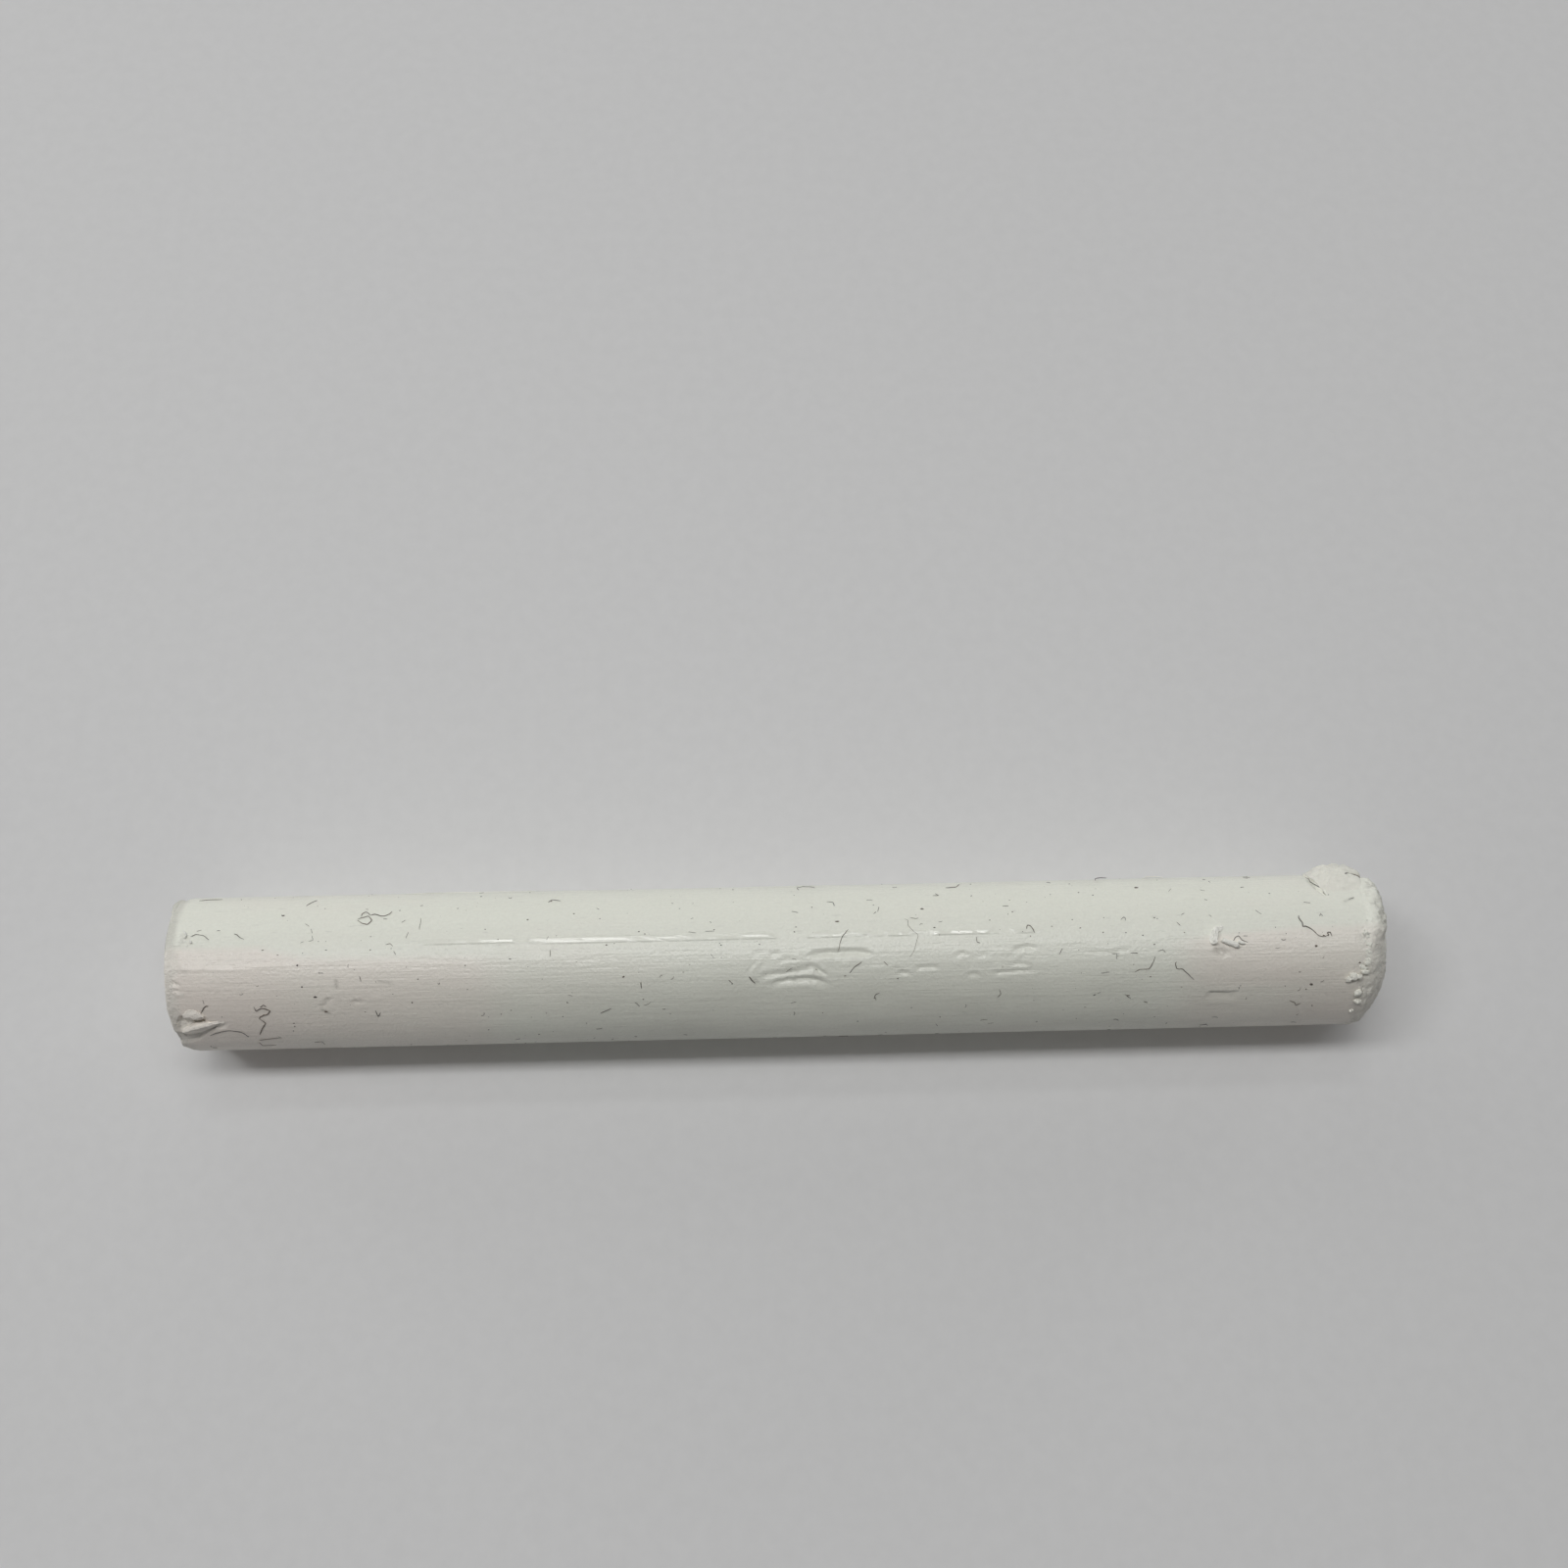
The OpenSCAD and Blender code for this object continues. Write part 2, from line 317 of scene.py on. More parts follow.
# Nail dents: line in (x, turn), depth, width of the wall, width of the slope below it, lip
DENTS = [
    ([(1.5, 11), (2.1, 8), (3, 7), (4, 7), (5, 7), (5.6, 9), (5.8, 12)], 0.21, 0.2, 0.44, 0.025),
    (
        [(-1.8, 25), (-1.2, 23), (-0.5, 22), (0.3, 21), (1, 20), (1.7, 18), (2.2, 19), (2.6, 23), (3.1, 26)],
        0.15, 0.18, 0.32, 0.02,
    ),
    (
        [(-1.2, 29), (-0.3, 28), (0.5, 27), (1.3, 26), (1.9, 27), (2.6, 29), (3.3, 32)],
        0.18, 0.18, 0.44, 0.025,
    ),
    ([(-2.1, 10), (-1.8, 7), (-1.4, 6), (-1, 8)], 0.07, 0.14, 0.26, 0.01),
    ([(-1, 9), (-0.7, 7), (-0.2, 7), (0, 8)], 0.08, 0.18, 0.28, 0.01),
    ([(-0.6, 15), (0, 13), (0.6, 12), (1, 12), (1.4, 14)], 0.05, 0.14, 0.16, 0.01),
    ([(-0.4, 19), (0.4, 17), (1.2, 16), (2.2, 15)], 0.05, 0.14, 0.2, 0.015),
    ([(2.1, 19), (2.6, 22), (3.1, 24)], 0.05, 0.14, 0.2, 0.015),
    ([(14.8, 9), (15.4, 7), (15.9, 6), (16.3, 7), (16.5, 9)], 0.12, 0.16, 0.34, 0.015),
    ([(14.4, 21), (14.9, 19), (15.5, 19), (16, 21), (16.4, 24)], 0.1, 0.12, 0.22, 0.02),
    ([(13.2, 25), (14.2, 25), (15, 24), (15.6, 24), (16.5, 25)], 0.16, 0.14, 0.26, 0.025),
    ([(11.8, 28), (12.2, 26), (12.5, 26), (12.9, 28)], 0.13, 0.12, 0.26, 0.02),
    ([(11, 13), (11.5, 10), (11.8, 10), (12.2, 13)], 0.1, 0.12, 0.24, 0.02),
    ([(12.2, 14), (12.8, 12), (13.6, 12)], 0.08, 0.1, 0.2, 0.01),
    ([(11, 19), (11.3, 18), (11.5, 19)], 0.03, 0.1, 0.16, 0.01),
    ([(8.4, 21), (9.1, 20), (9.8, 20), (10.1, 22)], 0.14, 0.11, 0.22, 0.02),
    ([(7.1, 25), (7.6, 24), (8, 24), (8.4, 25)], 0.14, 0.11, 0.22, 0.02),
    ([(6.9, 22), (7.4, 20), (7.8, 22)], 0.1, 0.1, 0.18, 0.02),
    ([(27.3, 46.5), (28.1, 46), (28.8, 46), (29.8, 46.5)], 0.15, 0.12, 0.7, 0.02),
    ([(20.8, 14), (21.6, 11), (22.6, 10)], 0.1, 0.1, 0.24, 0.015),
    ([(19.7, 12), (20.3, 11), (20.9, 12)], 0.1, 0.1, 0.18, 0.015),
    ([(-29.9, 42), (-29.7, 38), (-29.4, 34), (-29, 34)], 0.13, 0.13, 0.3, 0.025),
    ([(-28, 40), (-27.7, 36), (-27.4, 36), (-27.2, 39)], 0.12, 0.13, 0.34, 0.02),
    ([(12, -141), (14, -139), (16, -142)], 0.12, 0.3, 0.8, 0.02),
    ([(-18, -118), (-16, -116), (-14.6, -119)], 0.1, 0.3, 0.7, 0.02),
    ([(24, -96), (25.2, -95), (26, -97)], 0.08, 0.3, 0.6, 0.02),
    ([(-31, -150), (-29.5, -147), (-28.4, -149)], 0.1, 0.3, 0.7, 0.02),
    ([(-6, 150), (-4.6, 148), (-3.2, 151)], 0.09, 0.3, 0.7, 0.02),
]

# Fine ridges and creases: line in (x, turn), height (minus sinks), half width
RIDGES = [
    ([(-2.2, 26), (-2.2, 20), (-1.8, 15), (-1.4, 13)], -0.045, 0.07),
    ([(-2, 25), (-2, 20), (-1.6, 16), (-1.2, 14)], 0.03, 0.08),
    ([(-1.7, 24), (-1.5, 19), (-1.2, 15), (-0.8, 13)], -0.03, 0.07),
    ([(-0.2, 17), (0.6, 15), (1.6, 14)], 0.03, 0.1),
    ([(0.9, 19), (1.7, 17), (2.2, 16)], -0.03, 0.07),
    ([(-0.6, 11), (0.4, 10), (1.2, 11)], 0.02, 0.1),
    ([(15.5, 12), (15.5, 16), (15.3, 19)], -0.03, 0.07),
    ([(16.4, 11), (16.8, 14), (17.2, 15)], -0.02, 0.07),
    ([(17.1, 15), (18.3, 13), (19.7, 12)], -0.012, 0.07),
    ([(4.6, 20), (6, 21), (7, 20)], 0.02, 0.08),
    ([(5, 23), (6.2, 23), (7, 22)], 0.016, 0.08),
    ([(-39.6, -7), (-39.2, -6), (-38.6, -5)], -0.06, 0.1),
    ([(-37.2, 22), (-35.4, 23), (-33.4, 22)], -0.02, 0.08),
    ([(-38.9, 18), (-37.1, 18), (-34, 20)], -0.012, 0.07),
    ([(22.6, 17), (23.4, 21), (24.1, 29)], -0.012, 0.06),
    ([(20.2, 0), (20.4, -5), (20.6, -10), (20.8, -14)], 0.02, 0.08),
    ([(-19.7, 12), (-17.5, 12), (-14.6, 14)], -0.012, 0.06),
    ([(-20, 20), (-18, 21), (-15.5, 20)], -0.01, 0.06),
    ([(-19.4, -49), (-18.6, -48), (-17.8, -48)], -0.02, 0.08),
    ([(34.9, -68), (35.1, -60), (35.2, -50)], 0.08, 0.12),
    ([(35.2, -72), (35.3, -58), (35.4, -46), (35.7, -35), (36, -28)], -0.3, 0.1),
    ([(38.7, -27), (38.7, -22), (38.8, -19), (39.2, -18)], -0.16, 0.07),
    ([(-26, -70), (-22, -71), (-18, -70)], 0.06, 0.07),
    ([(-17, -64), (-14, -66), (-11, -65)], -0.05, 0.07),
    ([(-20, -58), (-18.4, -59), (-16.8, -58)], -0.05, 0.06),
    ([(-7.6, -47), (-7.3, -46), (-7.1, -44)], -0.03, 0.06),
    ([(-4, -68), (1, -70), (5, -68)], 0.05, 0.08),
    ([(-19.9, 44), (-19.8, 45), (-19.6, 46)], 0.06, 0.08),
    ([(-39, 12), (-37.7, 11), (-35.8, 12), (-33.8, 11), (-32.4, 9)], 0.02, 0.1),
    ([(-37.4, -1), (-34.3, -3), (-32.5, -6), (-30.6, -9)], 0.012, 0.12),
    ([(-29.8, 41), (-29.7, 38), (-29.4, 34), (-29.1, 34)], 0.06, 0.11),
    ([(-27.9, 39), (-27.6, 35), (-27.3, 36)], 0.05, 0.11),
    ([(-26.6, 38), (-26.2, 35), (-25.7, 38)], 0.04, 0.11),
    ([(28, 13), (28.3, 14), (28.7, 16), (28.9, 18)], -0.12, 0.2),
    ([(28.1, 15), (28.4, 17.5), (28.9, 18.5)], -0.05, 0.07),
    ([(27.8, 9.4), (28.2, 10), (28.5, 9.5)], -0.05, 0.06),
    ([(24.7, 14), (26.4, 16), (28.8, 17)], -0.01, 0.06),
    ([(25.3, 21), (28.2, 21)], -0.008, 0.06),
]

# Soft dark marks, smudges and one painted shade: line in (x, turn), half width, strength
DARK_MARKS = [
    ([(-28.8, 21), (-28.8, 26)], 0.1, 0.4),
    ([(-26.1, 22), (-25.7, 23), (-25.3, 24)], 0.13, 0.32),
    ([(-16.2, 21), (-16.2, 27)], 0.09, 0.3),
    ([(-29.7, 44), (-29.5, 46)], 0.15, 0.55),
    ([(-27.4, 42), (-26.9, 44)], 0.1, 0.2),
    ([(20.2, 46), (20.5, 44)], 0.1, 0.25),
    ([(-1.9, 27), (-1.6, 30)], 0.12, 0.4),
    ([(36.9, -24), (37.5, -27)], 0.1, 0.35),
    # painted shade in the groove below the shaving curl
    ([(28.1, 14), (28.6, 16)], 0.3, 0.26),
    ([(-0.6, 22), (1.2, 18), (2.2, 17)], 0.3, 0.1),
    ([(-38.9, 10), (-38.6, 12)], 0.25, 0.2),
    ([(6.3, 42), (6, 44)], 0.1, 0.3),
    ([(0.5, 20), (0.9, 18)], 0.1, 0.3),
    ([(12, -120), (14, -124)], 0.3, 0.3),
    ([(-22, 130), (-20, 134)], 0.3, 0.3),
]


def striations(relief):
    """Long faint facets along the stick, left by rolling and handling, a line rubbed to a shine, and painted
    shade on the lower side.
    """
    turn = np.degrees(relief.v / RADIUS)
    x = relief.x
    flat = np.exp(-(((turn - 4) / 6.5) ** 2)) * smooth(-31, -36, x)
    edge = np.exp(-(((turn - 10.6) / 0.9) ** 2)) * smooth(-31, -34, x)
    relief.high += relief.shaft * (0.032 * edge - 0.03 * flat)
    relief.high += oval(x, turn)
    # a narrow line rubbed to a shine, with breaks in it
    middle = np.interp(x, [-22, -13, 16], [-6.6, -5.9, -5.2])
    reach = smooth(-27, -21, x) * smooth(18.5, 15, x)
    broken = lattice_noise(x / 1.2, relief.v / 0.6, 0 * x, 15)
    broken = broken + 0.6 * lattice_noise(x / 0.45, relief.v / 0.3, 0 * x, 16)
    line = smooth(3, 1.7, np.abs(turn - middle)) * smooth(-0.7, 0.3, broken + 0.4 * smooth(-4, -11, x))
    relief.polish = np.maximum(relief.polish, relief.shaft * line * reach)
    calm = 1 - 0.9 * np.exp(-(((turn - middle) / 5) ** 2)) * reach
    wave = lattice_noise(x / 26, relief.v / 1.9, 0 * x, 5)
    wave += 0.5 * lattice_noise(x / 9, relief.v / 0.9, 0 * x + 7, 6)
    relief.high += relief.shaft * calm * 0.005 * wave
    # painted shade: the lower side, which faces the camera, darkened a little in patches
    cloudy = 1 + 0.25 * lattice_noise(x / 3.1, relief.v / 1.6, 0 * x, 8)
    painted_shade = smooth(6, 42, turn) * smooth(150, 100, turn) * (0.1 + 0.1 * smooth(-25, -5, x)) * cloudy
    relief.stain_and_shade = np.maximum(relief.stain_and_shade, relief.shaft * painted_shade)


def ends(relief, points):
    """Worn, chipped and torn surfaces at both ends."""
    x, turn = relief.x, np.degrees(relief.v / RADIUS)
    grain = rough(points, 0.55, 11, 3)
    fine = rough(points, 0.24, 21, 2)
    broad = rough(points, 2.2, 31, 2)
    crumbs = crumble(points, 0.5, 71)
    crumbs_fine = crumble(points + 5, 0.26, 72)
    # rubbed end: bruised rim with bits pushed over it
    starts = 37.3 + 0.8 * smooth(0, -12, turn)
    rim = smooth(starts, starts + 0.9, x + 0.4 * grain)
    face = smooth(39.2, 39.9, x)
    bruised = rim * (1 - 0.45 * face)
    chips = crumble(points - 3, 1.1, 75)
    gaps = crumble(points + 0.1 * fine[..., None], 0.9, 76, cracks=True) * smooth(-0.2, 0.4, broad)
    bits = 0.09 * chips + 0.06 * crumbs + 0.025 * crumbs_fine - 0.07 * gaps
    relief.high += bruised * bits + rim * 0.04 * broad
    relief.high += face * (0.03 * crumbs_fine + 0.03 * fine + 0.04 * broad)
    relief.torn = np.maximum(relief.torn, np.clip(0.85 * rim + 0.25 * grain * rim, 0, 1))
    lip = smooth(0.9, 0, np.abs(x - 38.4)) * smooth(60, 20, np.abs(turn - 5))
    relief.high += lip * 0.05 * (0.4 + crumbs)
    # less is worn off the rim's far upper part, and its corner is sharper there
    corner = smooth(38.1, 38.9, x) * smooth(39.65, 39.1, x) * smooth(-72, -52, turn) * smooth(14, -6, turn)
    cracks = crumble(points + 0.2 * fine[..., None], 0.75, 77, cracks=True) * smooth(-0.5, 0.2, grain)
    relief.high += corner * (0.5 - 0.12 * cracks + 0.05 * crumbs_fine)
    # painted shade: the cracks in the far corner darkened
    relief.stain_and_shade = np.maximum(relief.stain_and_shade, 0.3 * cracks * smooth(0.1, 0.6, corner))
    # cut end: crushed rim, flat face with the marks of the blade
    cut_rim = smooth(-39.0, -39.6, x + 0.2 * grain)
    cut_face = smooth(-39.75, -39.95, x)
    marks = np.sin(points[..., 2] * 5.4 + 0.9 * np.sin(points[..., 1] * 1.3) + points[..., 1] * 0.6)
    relief.high += cut_rim * (1 - 0.5 * cut_face) * (0.03 * crumbs + 0.02 * crumbs_fine)
    relief.high += cut_face * (0.018 * marks + 0.05 * broad + 0.015 * crumbs_fine)
    relief.torn = np.maximum(relief.torn, 0.8 * cut_rim)
    # painted shade: the cut end's rim darkened on its far upper part
    out = np.hypot(points[..., 1], points[..., 2] - AXIS_Z)
    rim_painted_shade = smooth(-39.1, -39.6, x) * smooth(3.4, 4.4, out) * smooth(0, -12, turn) * smooth(-110, -70, turn)
    relief.stain_and_shade = np.maximum(relief.stain_and_shade, 0.24 * rim_painted_shade)


def shade_warmth(x, turn, out, y):
    """How much warmer the white is: a painted shade tint, strongest near the ends on the lower side below the
    sheen's edge and on the end faces' near halves, weaker low down towards the right end.
    """
    ends = 0.65 * smooth(-17, -21, x) + 0.3 * smooth(-29, -35, x) + 0.8 * smooth(24, 28, x)
    ends *= 1 - 0.5 * smooth(34, 46, turn) * smooth(22, 25, x) * smooth(36, 31, x)
    starts = np.interp(x, [-39, -34, -31, -24, 24, 34], [-7, -6, 3, 4, 4, -4])
    side = smooth(starts - 4, starts + 6, turn)
    flat = smooth(4.6, 3.6, out)
    side = side * (1 - flat) + smooth(2.5, -2.5, y) * flat
    return 0.03 + 0.95 * ends * side


def corner_chip(points, turn_at, slope, depth, seed):
    """How far points are cut back by a rough plane across the cut end's corner."""
    t = math.radians(turn_at)
    s = math.radians(slope)
    normal = np.array([-math.sin(s), -math.sin(t) * math.cos(s), math.cos(t) * math.cos(s)])
    corner = place(np.array(-HALF_L), np.array(RADIUS), np.array(float(turn_at)))
    over = (points - corner) @ normal + depth + 0.09 * rough(points, 0.9, seed)
    return np.maximum(over, 0), normal


def stick_mesh():
    """The whole stick as one closed skin."""
    fine = np.arange(-78, 106, 1.28)
    back = np.linspace(fine[-1], 360 + fine[0], 40)[1:-1]
    turns = np.concatenate([fine, back])
    turns = np.where(turns > 180, turns - 360, turns)
    rows, cols = len(OUTLINE), len(turns)
    x = np.repeat(OUTLINE[:, :1], cols, 1)
    r = np.repeat(OUTLINE[:, 1:], cols, 1)
    turn = np.repeat(turns[None], rows, 0)
    shaft = np.repeat((OUTLINE[:, 1] > RADIUS - RUB_RIM * 0.96)[:, None], cols, 1)
    plain = place(x, r, turn)

    relief = Relief(x, turn, shaft)
    for draw, marks in ((relief.dent, DENTS), (relief.ridge, RIDGES), (relief.dark_mark, DARK_MARKS)):
        for mark in marks:
            draw(*mark)
    torn_place(relief)
    crinkles(relief)
    striations(relief)
    ends(relief, plain)

    dirs_x, dirs_r = (np.repeat(OUT_DIR[:, i : i + 1], cols, 1) for i in (0, 1))
    # the cut end's far upper corner is sharper
    corner = (2 * dirs_x * dirs_r) ** 2 * (dirs_x < 0) * smooth(-130, -100, turn) * smooth(-25, -55, turn)
    relief.high += 0.25 * corner
    points = place(x + dirs_x * relief.high, r + dirs_r * relief.high, turn)
    over, normal = corner_chip(points, 108, 38, 0.5, 61)
    points -= over[..., None] * normal
    torn = np.maximum(relief.torn, smooth(0, 0.06, over) * 0.9)
    points[..., 2] = np.maximum(points[..., 2], 0)

    verts = points.reshape(-1, 3)
    middles = [points[0].mean(0), points[-1].mean(0)]
    verts = np.vstack([verts, middles])
    warm = shade_warmth(x, turn, np.hypot(plain[..., 1], plain[..., 2] - AXIS_Z), plain[..., 1])
    layers = {"torn": torn, "stain_and_shade": relief.stain_and_shade, "polish": relief.polish, "warm": warm}
    layers = {key: np.append(layer.reshape(-1), layer.flat[[0, -1]]) for key, layer in layers.items()}
    return verts, skin_faces(rows, cols), layers


def torn_place(relief):
    """The notch at the cut end, and the small pits beside it."""
    relief.dent(
        [(-39.3, 46), (-39, 47.4), (-38.6, 48.6), (-38.1, 50.6), (-37.4, 49.4)],
        0.34, 0.12, 0.75, 0.02, torn=0.9, pressed=0,
    )
    relief.patch(
        [(-39.4, 50), (-38.6, 50), (-37.7, 51), (-38, 54), (-38.8, 57), (-39.6, 60)],
        -0.1, edge=0.25, torn=0.9, grain=0.05, size=0.4, seed=41,
    )
    relief.patch(
        [
            (-40.4, 64), (-39.4, 62), (-38.2, 59), (-36.2, 55),
            (-37.6, 62), (-38.6, 71), (-39.4, 74), (-40.4, 76),
        ],
        -0.12, edge=0.3, torn=0.8, grain=0.03, size=0.6, seed=42,
    )
    relief.dent([(-39.5, 19), (-39.2, 20), (-38.9, 22)], 0.14, 0.1, 0.2, 0.01, torn=0.8, pressed=0)
    relief.dent([(-39.5, 25), (-39.2, 24.6), (-38.8, 26)], 0.1, 0.1, 0.16, 0.01, torn=0.8, pressed=0)
    relief.ridge([(-39.4, 29), (-39, 28), (-38.6, 30)], 0.08, 0.1, torn=0.6)
    relief.patch([(-39, -18), (-38.5, -18), (-38.3, -8), (-38.9, -5)], 0.03, 0.3, 0.6, 0.04, 0.35, 45)


def crinkles(relief):
    """The skin round the nail marks, crumpled a little."""
    groups = (
        [(-2.4, 12), (0, 6), (5.8, 6), (6.2, 13), (3.6, 31), (0, 32), (-2, 28)],
        [(10.9, 14), (14, 7), (17, 6), (17.4, 14), (16.6, 27), (13, 28)],
        [(-30.2, 44), (-29.6, 33), (-27, 34), (-25.6, 36), (-26, 42), (-28, 45)],
        [(27.6, 12), (28.6, 10), (29.2, 13), (28.9, 19), (28, 17)],
    )
    for seed, border in enumerate(groups, 46):
        relief.patch(border, 0.0, edge=0.6, grain=0.014, size=0.3, seed=seed)


# -------- meshes and materials
def new_object(name, verts, faces, material, **attributes):
    mesh = bpy.data.meshes.new(name)
    mesh.from_pydata((np.asarray(verts) * MM).tolist(), [], [list(f) for f in faces])
    for key, values in attributes.items():
        layer = mesh.attributes.new(key, "FLOAT", "POINT")
        layer.data.foreach_set("value", np.asarray(values, np.float32))
    mesh.validate()
    mesh.polygons.foreach_set("use_smooth", [True] * len(mesh.polygons))
    mesh.update()
    obj = bpy.data.objects.new(name, mesh)
    obj.data.materials.append(material)
    bpy.context.scene.collection.objects.link(obj)
    return obj


def shell(outline_points, proud, sink=0.3, rings=9, per=6, roughness=0.0, size=0.3, seed=1):
    """A closed patch over the stick: `proud(x, v)` is its upper face, `sink` its depth."""
    border = curve([(x, arc_mm(t)) for x, t in outline_points], closed=True, per=per)
    middle = border.mean(0)
    shares = np.sqrt(np.linspace(0, 1, rings + 1)[1:])
    grid = middle + (border[None] - middle) * shares[:, None, None]
    count = len(border)
    x, v = grid[..., 0], grid[..., 1]
    top = proud(x, v)
    flat = np.stack([x, v, 0 * x], -1)
    top = top + roughness * rough(flat, size, seed)
    turn = np.degrees(v / RADIUS)
    verts = [on_stick(x, turn, top).reshape(-1, 3)]
    edge_x, edge_turn = border[:, 0], np.degrees(border[:, 1] / RADIUS)
    verts.append(on_stick(edge_x, edge_turn, top[-1] * 0.35 - 0.02))
    verts.append(on_stick(edge_x, edge_turn, np.full(count, -sink)))
    m_top = proud(middle[:1], middle[1:])
    m_turn = np.degrees(middle[1:] / RADIUS)
    verts.append(on_stick(middle[:1], m_turn, m_top))
    verts.append(on_stick(middle[:1], m_turn, np.array([-sink])))
    return np.vstack(verts), skin_faces(rings + 2, count)


def lump(x, turn, proud, half, stretch=(1, 1, 1), seed=1, bumps=0.35, rings=14, parts=20):
    """A rough closed crumb with its middle at (x, turn, proud)."""
    a = np.linspace(0, math.pi, rings + 1)[1:-1]
    b = np.arange(parts) * 2 * math.pi / parts
    aa, bb = np.meshgrid(a, b, indexing="ij")
    unit = np.stack([np.sin(aa) * np.cos(bb), np.sin(aa) * np.sin(bb), np.cos(aa)], -1)
    unit = np.vstack([unit.reshape(-1, 3), [[0, 0, 1], [0, 0, -1]]])
    size = half * (1 + bumps * rough(unit + 3.1 * seed, 0.9, seed, 3))
    local = unit * size[:, None] * np.array(stretch)
    centre = on_stick(np.array([float(x)]), np.array([float(turn)]), np.array([proud]))[0]
    t = math.radians(turn)
    up = np.array([0, -math.sin(t), math.cos(t)])
    down = np.array([0, -math.cos(t), -math.sin(t)])
    verts = centre + local @ np.stack([np.array([1.0, 0, 0]), down, up])
    # x, down and up make a left-handed set, so the faces run the other way round
    return verts, skin_faces(rings - 1, parts, flipped=True)


def tube(points, radius, proud=0.02, sides=5, per=5):
    """A fibre that lies on the stick along (x, turn) points, thinner at its ends."""
    line = curve(points, per=per)
    even = np.linspace(0, len(points) - 1, len(line))
    straight = [np.interp(even, range(len(points)), [p[i] for p in points]) for i in (0, 1)]
    line = 0.45 * line + 0.55 * np.stack(straight, 1)
    kink = 0.035 * lattice_noise(line[:, 0] / 0.3, line[:, 1] / 4, 0 * line[:, 0], 17)
    line[:, 0] += kink
    line[:, 1] += 8 * kink[::-1]
    high = proud(line[:, 0], arc_mm(line[:, 1])) if callable(proud) else np.full(len(line), proud)
    centre = on_stick(line[:, 0], line[:, 1], high)
    tangent = np.gradient(centre, axis=0)
    tangent /= np.maximum(np.linalg.norm(tangent, axis=1)[:, None], 1e-9)
    t = np.radians(line[:, 1])
    up = np.stack([0 * t, -np.sin(t), np.cos(t)], 1)
    side = np.cross(tangent, up)
    side /= np.maximum(np.linalg.norm(side, axis=1)[:, None], 1e-9)
    up = np.cross(side, tangent)
    share = np.linspace(0, 1, len(line))
    r = radius * (0.5 + 0.5 * np.clip(np.minimum(share, 1 - share) * 6, 0, 1))
    r = r * (1 + 0.3 * lattice_noise(line[:, 0] / 0.25, line[:, 1] / 5, 0 * share, 13))
    a = np.arange(sides) * 2 * math.pi / sides
    ring = side[:, None] * np.cos(a)[None, :, None] + up[:, None] * np.sin(a)[None, :, None]
    verts = (centre[:, None] + ring * r[:, None, None]).reshape(-1, 3)
    index = np.arange(len(line) * sides).reshape(len(line), sides)
    right = np.roll(index, -1, 1)
    quads = np.stack([index[:-1], right[:-1], right[1:], index[1:]], -1).reshape(-1, 4)
    faces = [tuple(q) for q in quads.tolist()]
    faces += [tuple(index[0].tolist()[::-1]), tuple(index[-1].tolist())]
    return verts, faces


def join(parts):
    """Several closed bodies as one list of vertices and faces."""
    verts, faces, base = [], [], 0
    for v, f in parts:
        verts.append(v)
        faces += [tuple(i + base for i in face) for face in f]
        base += len(v)
    return np.vstack(verts), faces


def nodes_of(name):
    material = bpy.data.materials.new(name)
    material.use_nodes = True
    tree = material.node_tree
    shader = tree.nodes["Principled BSDF"]
    return material, tree, shader


def add(tree, kind, inputs=None, **settings):
    node = tree.nodes.new(kind)
    for key, value in settings.items():
        setattr(node, key, value)
    for key, value in (inputs or {}).items():
        if isinstance(value, bpy.types.NodeSocket):
            tree.links.new(value, node.inputs[key])
        else:
            node.inputs[key].default_value = value
    return node


def math_node(tree, operation, a, b):
    return add(tree, "ShaderNodeMath", {0: a, 1: b}, operation=operation).outputs[0]


def mix_colour(tree, share, a, b):
    node = tree.nodes.new("ShaderNodeMix")
    node.data_type = "RGBA"
    for socket, value in zip((node.inputs[0], node.inputs[6], node.inputs[7]), (share, a, b)):
        if isinstance(value, bpy.types.NodeSocket):
            tree.links.new(value, socket)
        else:
            socket.default_value = value
    return node.outputs[2]


def stretched(tree, coordinates, scale):
    return add(tree, "ShaderNodeMapping", {"Vector": coordinates, "Scale": scale}).outputs[0]


def noise(tree, vector, scale, detail=3.0, roughness=0.55):
    values = {"Vector": vector, "Scale": scale, "Detail": detail, "Roughness": roughness}
    return add(tree, "ShaderNodeTexNoise", values).outputs[0]


def span(tree, value, low_in, high_in, low_out=0.0, high_out=1.0):
    values = {0: value, 1: low_in, 2: high_in, 3: low_out, 4: high_out}
    return add(tree, "ShaderNodeMapRange", values, clamp=True).outputs[0]


